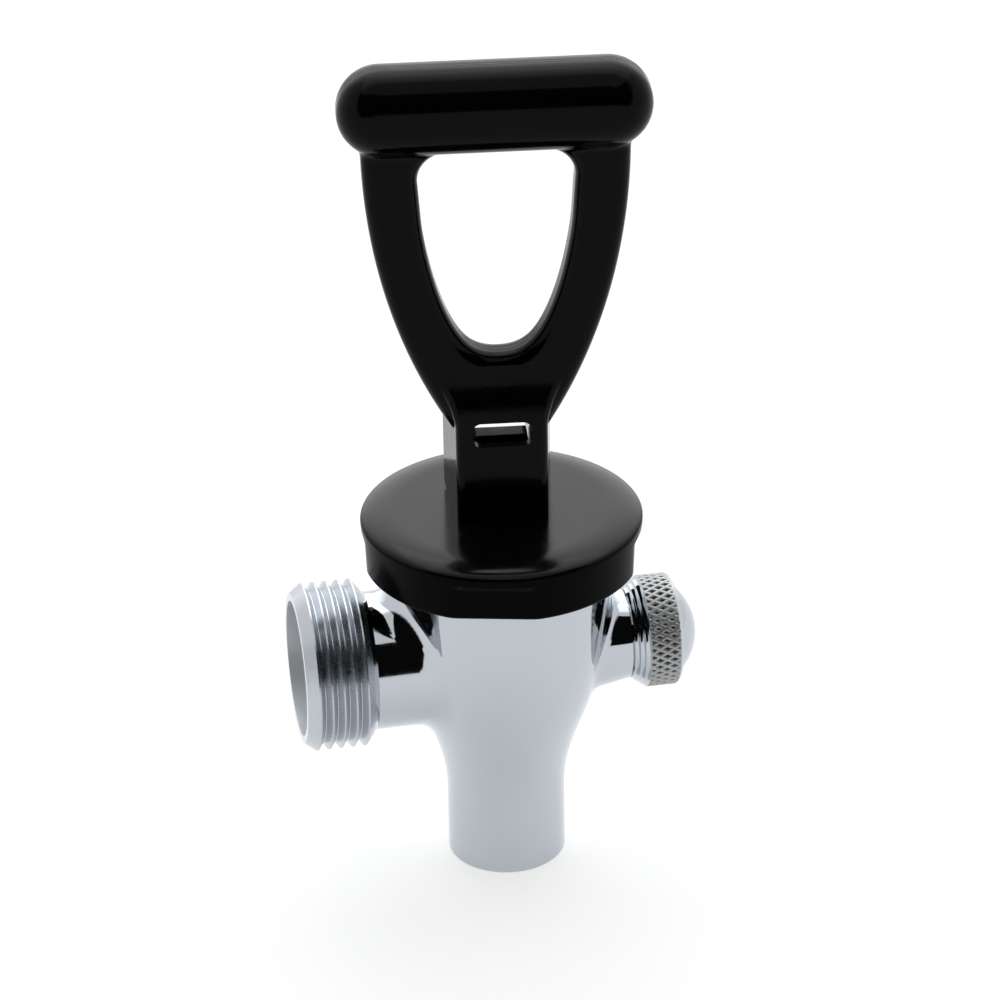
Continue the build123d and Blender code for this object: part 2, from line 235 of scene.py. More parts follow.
def tube(path: np.ndarray, radius: np.ndarray, steps: int) -> GridSurface:
    """Round profile carried along a path, its ring turned to the path's own direction.

    A ring point is path + r (cos a n + sin a b), where n points away from the barrel's axis
    and b is the direction of travel crossed with n.

    Args:
        path: Points of shape (rows, 3).
        radius: Ring radius at each point, zero where the tube closes.
        steps: Number of points round the ring.

    Returns:
        The surface.
    """
    travel = np.gradient(path, axis=0)
    travel /= np.linalg.norm(travel, axis=1, keepdims=True)
    out = path - np.array([LAYOUT.barrel_x, 0.0, 0.0])
    out[:, 2] = 0.0
    out -= travel * np.sum(out * travel, axis=1, keepdims=True)
    out /= np.linalg.norm(out, axis=1, keepdims=True)
    side = np.cross(travel, out)
    angle = around(steps)[None, :, None]
    ring = np.cos(angle) * out[:, None] + np.sin(angle) * side[:, None]
    return GridSurface(path[:, None] + radius[:, None, None] * ring)


# Shader building


class Graph:
    """A node tree with short calls for adding and joining nodes."""

    def __init__(self, tree: bpy.types.NodeTree) -> None:
        """Keeps the tree that nodes are added to."""
        self.tree = tree

    def add(self, kind: str, **values: object) -> bpy.types.Node:
        """Adds a node and sets its own properties.

        Args:
            kind: Node type, without the ShaderNode prefix.
            values: Properties of the node.

        Returns:
            The node.
        """
        node = self.tree.nodes.new("ShaderNode" + kind)
        for name, value in values.items():
            setattr(node, name, value)
        return node

    def feed(self, socket: Socket, value: object) -> None:
        """Feeds an input socket, by a link from an output socket or with a plain value."""
        if isinstance(value, Socket):
            self.tree.links.new(value, socket)
        else:
            socket.default_value = value

    def put(self, node: bpy.types.Node, **inputs: object) -> bpy.types.Node:
        """Feeds input sockets by name.

        Args:
            node: Node to set.
            inputs: Socket names with underscores for spaces, each a value or an output socket.

        Returns:
            The same node.
        """
        for name, value in inputs.items():
            self.feed(node.inputs[name.replace("_", " ")], value)
        return node

    def math(self, operation: str, *values: Value) -> Socket:
        """Adds a Math node.

        Args:
            operation: Name of the operation.
            values: Its inputs in order, values or output sockets.

        Returns:
            The node's output.
        """
        node = self.add("Math", operation=operation)
        for socket, value in zip(node.inputs, values):
            self.feed(socket, value)
        return node.outputs[0]

    def hypotenuse(self, first: Socket, second: Socket) -> Socket:
        """Square root of the sum of two squares."""
        squares = [self.math("POWER", side, 2.0) for side in (first, second)]
        return self.math("SQRT", self.math("ADD", *squares))

    def span(self, value: Socket, reach: Span, to_low: Value, to_high: Value,
             smooth: bool = False) -> Socket:
        """Maps a value from one range to another, held at the ends.

        Args:
            value: Socket to map.
            reach: Start and end of the range read.
            to_low: Result at the start.
            to_high: Result at the end.
            smooth: Whether the change eases in and out.

        Returns:
            The mapped socket.
        """
        node = self.add("MapRange", interpolation_type="SMOOTHSTEP" if smooth else "LINEAR")
        for socket, item in zip(node.inputs, (value, *reach, to_low, to_high)):
            self.feed(socket, item)
        return node.outputs[0]

    def noise(self, where: Socket, scale: Value, detail: float, roughness: float,
              distortion: float = 0.0) -> Socket:
        """Adds a noise texture and returns its value output."""
        node = self.put(self.add("TexNoise"), Vector=where, Scale=scale, Detail=detail,
                        Roughness=roughness, Distortion=distortion)
        return node.outputs[0]


class EffectGroup:
    """A shader effect shared by several finishes, kept as one node group."""

    def __init__(self, name: str, inputs: Dict[str, float], outputs: Sequence[str]) -> None:
        """Makes the group's interface.

        Args:
            name: Name of the group.
            inputs: Names and default values of its number inputs.
            outputs: Names of its number outputs.
        """
        self.tree = bpy.data.node_groups.new(name, "ShaderNodeTree")
        sockets = self.tree.interface.new_socket
        sockets("Place", in_out="INPUT", socket_type="NodeSocketVector")
        for label, value in inputs.items():
            socket = sockets(label, in_out="INPUT", socket_type="NodeSocketFloat")
            socket.default_value = value
        for label in outputs:
            sockets(label, in_out="OUTPUT", socket_type="NodeSocketFloat")
        self.graph = Graph(self.tree)
        self.source = self.tree.nodes.new("NodeGroupInput")
        self.sink = self.tree.nodes.new("NodeGroupOutput")

    def read(self, name: str) -> Socket:
        """Returns a named input inside the group."""
        return self.source.outputs[name]

    def write(self, name: str, value: Socket) -> None:
        """Joins a value to a named output of the group."""
        self.tree.links.new(value, self.sink.inputs[name])


def polish_group() -> EffectGroup:
    """Buffed metal: slow waves left by the wheel, fine haze, and a height that ripples.

    Returns:
        Group that gives Roughness and Height from Scale, Smooth and Hazy.
    """
    haze_ratio, haze_reach = 9.0, (0.12, 0.45)
    group = EffectGroup("buffed_polish", {"Scale": 120.0, "Smooth": 0.04, "Hazy": 0.12},
                        ("Roughness", "Height"))
    graph, place, scale = group.graph, group.read("Place"), group.read("Scale")
    waves = graph.noise(place, scale, 2.0, 0.4)
    haze = graph.noise(place, graph.math("MULTIPLY", scale, haze_ratio), 4.0, 0.6)
    mixed = graph.math("MULTIPLY", waves, haze)
    group.write("Roughness", graph.span(mixed, haze_reach, group.read("Smooth"),
                                        group.read("Hazy"), True))
    group.write("Height", waves)
    return group


def skin_group() -> EffectGroup:
    """Moulded skin: faint sink waves under a very fine grain.

    Returns:
        Group that gives Roughness and Height from Grain, Sink, Smooth and Dull.
    """
    grain_share, patch_ratio, patch_reach = 0.08, 3.0, (0.3, 0.7)
    group = EffectGroup("moulded_skin",
                        {"Grain": 2600.0, "Sink": 90.0, "Smooth": 0.1, "Dull": 0.25},
                        ("Roughness", "Height"))
    graph, place, sink = group.graph, group.read("Place"), group.read("Sink")
    grain = graph.noise(place, group.read("Grain"), 3.0, 0.6)
    waves = graph.noise(place, sink, 1.0, 0.3)
    patches = graph.noise(place, graph.math("MULTIPLY", sink, patch_ratio), 3.0, 0.55)
    group.write("Roughness", graph.span(patches, patch_reach, group.read("Smooth"),
                                        group.read("Dull"), True))
    group.write("Height", graph.math("ADD", graph.math("MULTIPLY", grain, grain_share), waves))
    return group


def scuff_group() -> EffectGroup:
    """Handling marks: short hair-line scratches and dust specks, few and far apart.

    Returns:
        Group that gives Scratch and Speck masks from Scale and Amount.
    """
    hair_turn, hair_stretch, hair_reach = (0.6, 0.3, 0.9), (1.0, 14.0, 1.0), (0.66, 0.72)
    bare_ratio, bare_reach = 0.5, (0.5, 0.62)
    speck_ratio, speck_reach = 2.5, (0.05, 0.11)
    group = EffectGroup("handling_marks", {"Scale": 300.0, "Amount": 0.5}, ("Scratch", "Speck"))
    graph, place, scale = group.graph, group.read("Place"), group.read("Scale")
    stretch = graph.put(graph.add("Mapping"), Vector=place, Rotation=hair_turn, Scale=hair_stretch)
    hairs = graph.noise(stretch.outputs[0], scale, 2.0, 0.5, 0.4)
    where = graph.noise(place, graph.math("MULTIPLY", scale, bare_ratio), 1.0, 0.4)
    bare = graph.span(where, bare_reach, 0.0, group.read("Amount"), True)
    group.write("Scratch", graph.math("MULTIPLY", graph.span(hairs, hair_reach, 0.0, 1.0), bare))
    cells = graph.put(graph.add("TexVoronoi", feature="F1"), Vector=place,
                      Scale=graph.math("MULTIPLY", scale, speck_ratio))
    dots = graph.span(cells.outputs["Distance"], speck_reach, 1.0, 0.0)
    group.write("Speck", graph.math("MULTIPLY", dots, bare))
    return group


@dataclass(frozen=True)
class Effects:
    """The effect groups, each built once."""

    polish: EffectGroup
    skin: EffectGroup
    scuff: EffectGroup

    @classmethod
    def build(cls) -> "Effects":
        """Builds every group."""
        return cls(polish_group(), skin_group(), scuff_group())


class Paint:
    """A material under way: its graph, its surface shader and its Object coordinates."""

    mix_factor, mix_base, mix_marked, mix_result = 0, 6, 7, 2

    def __init__(self, name: str) -> None:
        """Makes an empty material with one Principled surface."""
        self.material = bpy.data.materials.new(name)
        self.material.use_nodes = True
        tree = self.material.node_tree
        tree.nodes.clear()
        self.graph = Graph(tree)
        self.surface = self.graph.add("BsdfPrincipled")
        output = self.graph.add("OutputMaterial")
        tree.links.new(self.surface.outputs[0], output.inputs["Surface"])
        self.place = self.graph.add("TexCoord").outputs["Object"]

    def effect(self, group: EffectGroup, **inputs: float) -> bpy.types.NodeOutputs:
        """Places a shared effect, read at the Object coordinates.

        Args:
            group: Effect to place.
            inputs: Its number inputs.

        Returns:
            The outputs of the group node.
        """
        node = self.graph.add("Group", node_tree=group.tree)
        return self.graph.put(node, Place=self.place, **inputs).outputs

    def bump(self, height: Socket, depth: float, strength: float = 1.0,
             under: Optional[Socket] = None) -> Socket:
        """Turns a height into a normal.

        Args:
            height: Height from 0 to 1.
            depth: What a height of 1 stands for, in metres.
            strength: Share of the effect that shows.
            under: Normal that this one is laid over.

        Returns:
            The normal.
        """
        node = self.graph.put(self.graph.add("Bump"), Height=height, Distance=depth,
                              Strength=strength)
        if under is not None:
            self.graph.put(node, Normal=under)
        return node.outputs[0]

    def tint(self, mask: Socket, base: Union[Colour, Socket], marked: Colour) -> Socket:
        """Colour that goes from base, a colour or a socket, to marked with a mask."""
        node = self.graph.add("Mix", data_type="RGBA")
        self.graph.feed(node.inputs[self.mix_factor], mask)
        self.graph.feed(node.inputs[self.mix_base],
                        base if isinstance(base, Socket) else (*base, 1.0))
        self.graph.feed(node.inputs[self.mix_marked], (*marked, 1.0))
        return node.outputs[self.mix_result]

    def roughened(self, rough: Socket, mask: Socket, amount: float) -> Socket:
        """Roughness with some more of it where a mask shows."""
        return self.graph.math("ADD", rough, self.graph.math("MULTIPLY", mask, amount))

    def split(self, vector: Socket) -> bpy.types.NodeOutputs:
        """Splits a vector into its X, Y and Z."""
        return self.graph.put(self.graph.add("SeparateXYZ"), Vector=vector).outputs

    def set(self, **inputs: object) -> None:
        """Sets sockets of the surface shader."""
        self.graph.put(self.surface, **inputs)


# Finishes


class Finish(ABC):
    """A surface finish that makes its own material."""

    @abstractmethod
    def material(self, effects: Effects) -> bpy.types.Material:
        """Builds the material.

        Args:
            effects: Shared effect groups.

        Returns:
            The material.
        """


@dataclass(frozen=True)
class BrightChrome(Finish):
    """Bright chrome over buffed brass, dull where the polishing wheel can't reach.

    Attributes:
        haze_colour: Colour of water specks on the plating.
        bore_metal: How metallic the bores look.
        smooth: Roughness where the buffing is best.
        hazy: Roughness where it is poorest.
        inlet_bore: Radius about the shank's axis that counts as inside.
        inlet_depth: How far along the shank that bore reaches.
        spout_bore: Radius about the barrel's axis that counts as inside.
        thread_root: Radius about the shank's axis that counts as thread.
        thread_end: How far along the shank the thread reaches.
        thread_haze: Roughness that the cut thread adds.
    """

    name: str = "bright_chrome"
    colour: Colour = (0.50, 0.53, 0.565)
    haze_colour: Colour = (0.46, 0.49, 0.52)
    bore_colour: Colour = (0.84, 0.86, 0.88)
    bore_rough: float = 0.42
    bore_metal: float = 0.45
    smooth: float = 0.035
    hazy: float = 0.10
    polish_scale: float = 110.0
    wave_depth: float = 0.006 * MM
    mark_scale: float = 260.0
    mark_amount: float = 0.35
    scratch_rough: float = 0.12
    inlet_bore: float = 10.35 * MM
    inlet_depth: float = 22.0 * MM
    spout_bore: float = 6.75 * MM
    thread_root: float = 11.4 * MM
    thread_end: float = 9.6 * MM
    thread_haze: float = 0.2

    def masks(self, paint: Paint) -> Tuple[Socket, Socket]:
        """Masks of the places that the polishing wheel can't reach.

        Args:
            paint: Material under way.

        Returns:
            Sockets that are 1 inside the inlet and the spout, and 1 on the inlet's thread.
        """
        graph = paint.graph
        place = paint.split(paint.place)
        from_shank = graph.hypotenuse(place["Y"], place["Z"])
        from_barrel = graph.hypotenuse(
            place["Y"], graph.math("SUBTRACT", place["X"], LAYOUT.barrel_x))
        inlet = graph.math("MULTIPLY", graph.math("LESS_THAN", from_shank, self.inlet_bore),
                           graph.math("LESS_THAN", place["X"], self.inlet_depth))
        spout = graph.math("LESS_THAN", from_barrel, self.spout_bore)
        thread = graph.math("MULTIPLY", graph.math("GREATER_THAN", from_shank, self.thread_root),
                            graph.math("LESS_THAN", place["X"], self.thread_end))
        return graph.math("MAXIMUM", inlet, spout), thread

    def material(self, effects: Effects) -> bpy.types.Material:
        """Builds the material, dulled in the bores and hazed on the thread."""
        paint = Paint(self.name)
        graph = paint.graph
        polish = paint.effect(effects.polish, Scale=self.polish_scale, Smooth=self.smooth,
                              Hazy=self.hazy)
        marks = paint.effect(effects.scuff, Scale=self.mark_scale, Amount=self.mark_amount)
        bores, thread = self.masks(paint)
        rough = paint.roughened(polish["Roughness"], marks["Scratch"], self.scratch_rough)
        rough = paint.roughened(rough, thread, self.thread_haze)
        outside = paint.tint(marks["Speck"], self.colour, self.haze_colour)
        paint.set(Base_Color=paint.tint(bores, outside, self.bore_colour),
                  Metallic=graph.span(bores, UNIT, 1.0, self.bore_metal),
                  Roughness=graph.span(bores, UNIT, rough, self.bore_rough),
                  Normal=paint.bump(polish["Height"], self.wave_depth))
        return paint.material


@dataclass(frozen=True)
class SatinKnurl(Finish):
    """Plated knurling: rougher in the pits. Its colour is darkened with depth into the pits as
    painted shade, so the ridges read brighter.

    Attributes:
        attribute: Mesh attribute that holds how deep a point lies, from 0 to 1.
        pit_shade_reach: Depths between which the colour changes.
        rough_reach: Depths between which the roughness changes.
        pit_rough: Roughness that a pit adds.
    """

    name: str = "satin_knurl"
    ridge_colour: Colour = (0.38, 0.385, 0.385)
    # Painted shade: the pits of the knurling are coloured near black, as if shaded.
    pit_shade_colour: Colour = (0.05, 0.05, 0.048)
    attribute: str = "pit"
    pit_shade_reach: Span = (0.1, 0.9)
    rough_reach: Span = (0.0, 0.6)
    pit_rough: float = 0.15
    smooth: float = 0.44
    hazy: float = 0.58
    polish_scale: float = 320.0
    wave_depth: float = 0.004 * MM

    def material(self, effects: Effects) -> bpy.types.Material:
        """Builds the material, which reads how deep each point lies from an attribute and darkens
        the deeper points as painted shade.
        """
        paint = Paint(self.name)
        graph = paint.graph
        deep = graph.add("Attribute", attribute_name=self.attribute).outputs["Fac"]
        polish = paint.effect(effects.polish, Scale=self.polish_scale, Smooth=self.smooth,
                              Hazy=self.hazy)
        # Painted shade: the colour darkens as a point lies deeper in a pit.
        pit_shade = graph.span(deep, self.pit_shade_reach, 0.0, 1.0)
        rough = graph.math("ADD", polish["Roughness"],
                           graph.span(deep, self.rough_reach, 0.0, self.pit_rough))
        paint.set(Base_Color=paint.tint(pit_shade, self.ridge_colour, self.pit_shade_colour), Metallic=1.0,
                  Roughness=rough, Normal=paint.bump(polish["Height"], self.wave_depth))
        return paint.material


@dataclass(frozen=True)
class BlackMoulding(Finish):
    """Glossy black moulded plastic.

    Attributes:
        smooth: Roughness of its glossy patches.
        dull: Roughness of its duller patches.
        speck_share: How much of the mark colour a speck takes.
        gloss: Specular level of the plastic.
        side_shade_gloss: Specular level of faces that stand upright, if it differs.
        side_shade_reach: Upward part of the normal, from an upright face to a level one.
        parting_line: Whether the mould's parting line runs along the middle of the handle.
        line_reach: Distances from the middle at which that line is full and gone.
    """

    name: str
    colour: Colour = (0.002, 0.002, 0.0022)
    mark_colour: Colour = (0.05, 0.05, 0.052)
    smooth: float = 0.08
    dull: float = 0.16
    grain_scale: float = 2600.0
    sink_scale: float = 95.0
    sink_depth: float = 0.02 * MM
    mark_scale: float = 330.0
    mark_amount: float = 0.5
    speck_share: float = 0.6
    scratch_rough: float = 0.25
    gloss: float = 0.07
    # Painted shade: a lower specular level on upright faces dims their reflections, so the sides
    # read darker than level faces.
    side_shade_gloss: Optional[float] = None
    side_shade_reach: Span = (0.45, 0.9)
    parting_line: bool = False
    line_reach: Span = (0.04 * MM, 0.16 * MM)
    line_height: float = 0.05 * MM
    line_strength: float = 0.7

    def seam(self, paint: Paint, under: Socket) -> Socket:
        """Lays the parting line over a normal.

        Args:
            paint: Material under way.
            under: Normal that the line is laid over.

        Returns:
            The new normal.
        """
        graph = paint.graph
        centred = graph.put(graph.add("Mapping", vector_type="TEXTURE"), Vector=paint.place,
                            Location=(LAYOUT.barrel_x, 0.0, 0.0),
                            Rotation=(0.0, 0.0, math.radians(LAYOUT.handle_turn)))
        depth = graph.math("ABSOLUTE", paint.split(centred.outputs[0])["Y"])
        line = graph.span(depth, self.line_reach, 1.0, 0.0, True)
        return paint.bump(line, self.line_height, self.line_strength, under)

    def specular(self, paint: Paint) -> Value:
        """Specular level: one number, or one that is lowered on upright faces as painted shade."""
        if self.side_shade_gloss is None:
            return self.gloss
        facing = paint.split(paint.graph.add("NewGeometry").outputs["Normal"])
        return paint.graph.span(facing["Z"], self.side_shade_reach, self.side_shade_gloss, self.gloss, True)

    def material(self, effects: Effects) -> bpy.types.Material:
        """Builds the material."""
        paint = Paint(self.name)
        skin = paint.effect(effects.skin, Grain=self.grain_scale, Sink=self.sink_scale,
                            Smooth=self.smooth, Dull=self.dull)
        marks = paint.effect(effects.scuff, Scale=self.mark_scale, Amount=self.mark_amount)
        normal = paint.bump(skin["Height"], self.sink_depth)
        if self.parting_line:
            normal = self.seam(paint, normal)
        speck = paint.graph.math("MULTIPLY", marks["Speck"], self.speck_share)
        paint.set(Base_Color=paint.tint(speck, self.colour, self.mark_colour), Normal=normal,
                  Roughness=paint.roughened(skin["Roughness"], marks["Scratch"],
                                            self.scratch_rough),
                  Specular_IOR_Level=self.specular(paint))
        return paint.material


@dataclass(frozen=True)
class SoftMoulding(Finish):
    """Matt rubber or silicone, with the same kinds of values as the black moulding."""

    name: str
    colour: Colour
    worn_colour: Colour
    smooth: float = 0.35
    dull: float = 0.6
    grain_scale: float = 1800.0
    sink_scale: float = 160.0
    sink_depth: float = 0.03 * MM
    mark_scale: float = 420.0
    mark_amount: float = 0.6

    def material(self, effects: Effects) -> bpy.types.Material:
        """Builds the material."""
        paint = Paint(self.name)
        skin = paint.effect(effects.skin, Grain=self.grain_scale, Sink=self.sink_scale,
                            Smooth=self.smooth, Dull=self.dull)
        marks = paint.effect(effects.scuff, Scale=self.mark_scale, Amount=self.mark_amount)
        paint.set(Base_Color=paint.tint(marks["Speck"], self.colour, self.worn_colour),
                  Roughness=skin["Roughness"],
                  Normal=paint.bump(skin["Height"], self.sink_depth))
        return paint.material


@dataclass(frozen=True)
class DrawnSteel(Finish):
    """Bright drawn stainless wire and stampings, with the same kinds of values as the chrome."""

    name: str = "drawn_steel"
    colour: Colour = (0.56, 0.55, 0.53)
    worn_colour: Colour = (0.42, 0.41, 0.39)
    smooth: float = 0.14
    hazy: float = 0.3
    polish_scale: float = 240.0
    wave_depth: float = 0.01 * MM
    mark_scale: float = 500.0
    mark_amount: float = 0.7

    def material(self, effects: Effects) -> bpy.types.Material:
        """Builds the material."""
        paint = Paint(self.name)
        polish = paint.effect(effects.polish, Scale=self.polish_scale, Smooth=self.smooth,
                              Hazy=self.hazy)
        marks = paint.effect(effects.scuff, Scale=self.mark_scale, Amount=self.mark_amount)
        paint.set(Base_Color=paint.tint(marks["Scratch"], self.colour, self.worn_colour),
                  Metallic=1.0, Roughness=polish["Roughness"],
                  Normal=paint.bump(polish["Height"], self.wave_depth))
        return paint.material


def dress(piece: bpy.types.Object, *materials: bpy.types.Material) -> None:
    """Gives a piece its materials in place of those it came with.

    Args:
        piece: Object to dress.
        materials: Materials in slot order.
    """
    piece.data.materials.clear()
    for material in materials:
        piece.data.materials.append(material)
    LOG.info("%s dressed in %s", piece.name, ", ".join(m.name for m in materials))


def seat(piece: bpy.types.Object, body: Body, slot: Slot, replaced: str) -> None:
    """Rides a new piece on its body in place of a solid.

    Args:
        piece: The new piece.
        body: Body that it moves with.
        slot: Material slot that its finish belongs to. Not used.
        replaced: Solid that it stands for.
    """
    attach(piece, body.value)
    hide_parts(replaced)
    LOG.info("%s stands for %s on %s", piece.name, replaced, body.value)


# Sub-assemblies


@dataclass
class Casting:
    """Chromed casting: barrel, spout, inlet shank and clean-out boss."""

    node: str = "valve_body"
    finish: BrightChrome = BrightChrome()

    def build(self, effects: Effects) -> None:
        """Dresses the casting."""
        dress(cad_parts[self.node], self.finish.material(effects))


def vectors(items: bpy.types.bpy_prop_collection, field: str) -> np.ndarray:
    """Reads a vector field of all vertices or faces.

    Args:
        items: Vertices or polygons of a mesh.
        field: Name of the field.

    Returns:
        Array of shape (items, 3).
    """
    values = np.empty(len(items) * 3)
    items.foreach_get(field, values)
    return values.reshape(-1, 3)


@dataclass
class CleanOutCap:
    """Knurled cap on the boss, with its rubber disc.

    Stations run along the shank from the barrel's axis.

    Attributes:
        lead: Distance along the axis in which a ridge reaches the next one's place.
        ridge_width: Share of a tooth that is ridge.
        fade: Length over which the knurling runs out.
        pit_limit: Greatest depth, in pit depths, that counts as a pit.
    """

    start: float = 19.0 * MM
    cone_end: float = 21.2 * MM
    knurl_end: float = 25.8 * MM
    rim: float = 26.3 * MM
    tip: float = 29.7 * MM
    floor: float = 25.2 * MM
    outer: float = 8.55 * MM
    neck: float = 6.9 * MM
    bore: float = 5.68 * MM
    edge_round: float = 0.8 * MM
    dome_base: float = 7.0 * MM
    rings: float = 3.0
    ring_depth: float = 0.045 * MM
    teeth: int = 42
    lead: float = 2.25 * MM
    pit_depth: float = 0.34 * MM
    ridge_width: float = 0.30
    fade: float = 0.35 * MM
    band_depth: float = 0.2 * MM
    pit_margin: float = 0.1 * MM
    pit_limit: float = 1.2
    start_margin: float = 0.02 * MM
    end_margin: float = 0.05 * MM
    coarse: float = 1.2 * MM
    ledge_spacing: float = 0.3 * MM
    fine: float = 0.06 * MM
    corner_steps: int = 9
    dome_steps: int = 24
    steps_per_tooth: int = 14
    chrome: BrightChrome = BrightChrome(name="cap_chrome", smooth=0.06, hazy=0.16)
    knurl: SatinKnurl = SatinKnurl()
    gasket: str = "cap_gasket"
    rubber: SoftMoulding = SoftMoulding("gasket_rubber", (0.02, 0.02, 0.02), (0.06, 0.06, 0.06))

    def profile(self) -> Tuple[np.ndarray, np.ndarray]:
        """Half section of the cap, from its bore's floor round the outside to the dome's tip.

        The cone's rings sink by d |sin(pi n t)|, and the dome is a cap of a ball.

        Returns:
            Points as (radius, station), and for each point how fully the knurling shows there,
            from 0 to 1.
        """
        shelf = self.rim - self.edge_round
        inside = sampled([(0.0, self.floor), (self.bore, self.floor), (self.bore, self.start),
                          (self.neck, self.start)], self.coarse)
        cone = sampled([(self.neck, self.start), (self.outer, self.cone_end)], self.fine)[1:]
        share = np.linspace(0.0, 1.0, len(cone))
        groove = self.ring_depth * np.abs(np.sin(np.pi * self.rings * share))
        cone = cone - np.stack([groove, -groove], axis=-1)
        band = sampled([(self.outer, self.cone_end), (self.outer, shelf)], self.fine)[1:]
        bend = np.linspace(0.0, QUARTER_TURN, self.corner_steps)[1:]
        corner = np.stack([self.outer - self.edge_round * (1 - np.cos(bend)),
                           shelf + self.edge_round * np.sin(bend)], axis=-1)
        ledge = sampled([tuple(corner[-1]), (self.dome_base, self.rim)], self.ledge_spacing)[1:]
        rise = self.tip - self.rim
        ball = (self.dome_base ** 2 + rise ** 2) / (2 * rise)
        sweep = np.linspace(math.asin(self.dome_base / ball), 0.0, self.dome_steps)[1:]
        dome = np.stack([ball * np.sin(sweep), self.tip - ball * (1 - np.cos(sweep))], axis=-1)
        points = np.vstack([inside, cone, band, corner, ledge, dome])
        depth_in = np.minimum(points[:, 1] - self.cone_end, self.knurl_end - points[:, 1])
        on_band = (points[:, 0] > self.outer - self.band_depth) & (points[:, 1] > self.cone_end)
        return points, np.clip(depth_in / self.fade, 0.0, 1.0) * on_band

    def pits(self, angle: np.ndarray, station: np.ndarray, shown: np.ndarray) -> np.ndarray:
        """Depth of the diamond pits from 0 on a ridge to 1 in a pit's middle.

        Two families of ridges lean by the same lead to either side: a = N angle / 2 pi + s / lead
        and b = N angle / 2 pi - s / lead. A point lies on a ridge where a or b is whole.

        Args:
            angle: Angles of the columns.
            station: Stations of the rows, of shape (rows, 1).
            shown: How fully each row shows the knurling, of shape (rows, 1).

        Returns:
            Array of shape (rows, columns).
        """
        tooth = self.teeth * angle[None, :] / FULL_TURN
        leans = [tooth + sign * station / self.lead for sign in (1.0, -1.0)]
        gaps = [np.abs(lean - np.round(lean)) * 2.0 for lean in leans]
        nearest = np.minimum(gaps[0], gaps[1])
        return np.clip((nearest - self.ridge_width) / (1.0 - self.ridge_width), 0.0, 1.0) * shown

    def build(self, effects: Effects) -> None:
        """Builds the cap, with knurled faces in a finish of their own, and dresses the disc.

        Args:
            effects: Shared effect groups.
        """
        profile, shown = self.profile()
        angle = around(self.teeth * self.steps_per_tooth)
        deep = self.pits(angle, profile[:, 1:], shown[:, None])
        radius = profile[:, :1] - self.pit_depth * deep
        station = LAYOUT.barrel_x + profile[:, 1:]
        surface = GridSurface(spun(radius, station, angle, TurningAxis.SHANK))
        cap = surface.build("knurled_cap", 50.0)
        dress(cap, self.chrome.material(effects), self.knurl.material(effects))
        self.mark_pits(cap.data)
        seat(cap, Body.CAP, Slot.CHROME, "clean_out_cap")
        dress(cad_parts[self.gasket], self.rubber.material(effects))

    def mark_pits(self, mesh: bpy.types.Mesh) -> None:
        """Writes each point's depth under the knurling's crest, and gives knurled faces slot 1.

        It runs after the cap is dressed, since clearing the materials resets the slots.

        Args:
            mesh: The cap's mesh.
        """
        points = vectors(mesh.vertices, "co")
        along = points[:, 0] - LAYOUT.barrel_x
        sunk = (self.outer - np.hypot(points[:, 1], points[:, 2])) / self.pit_depth
        band = ((along > self.cone_end + self.start_margin)
                & (along < self.knurl_end - self.end_margin) & (sunk < self.pit_limit))
        depth = np.where(band, np.clip(sunk, 0.0, 1.0), 0.0)
        layer = mesh.attributes.new(self.knurl.attribute, "FLOAT", "POINT")
        layer.data.foreach_set("value", depth.astype(np.float32))
        centres = vectors(mesh.polygons, "center")
        along = centres[:, 0] - LAYOUT.barrel_x
        out = np.hypot(centres[:, 1], centres[:, 2])
        knurled = ((along > self.cone_end) & (along < self.knurl_end)
                   & (out > self.outer - self.pit_depth - self.pit_margin))
        mesh.polygons.foreach_set("material_index", knurled.astype(np.int32))


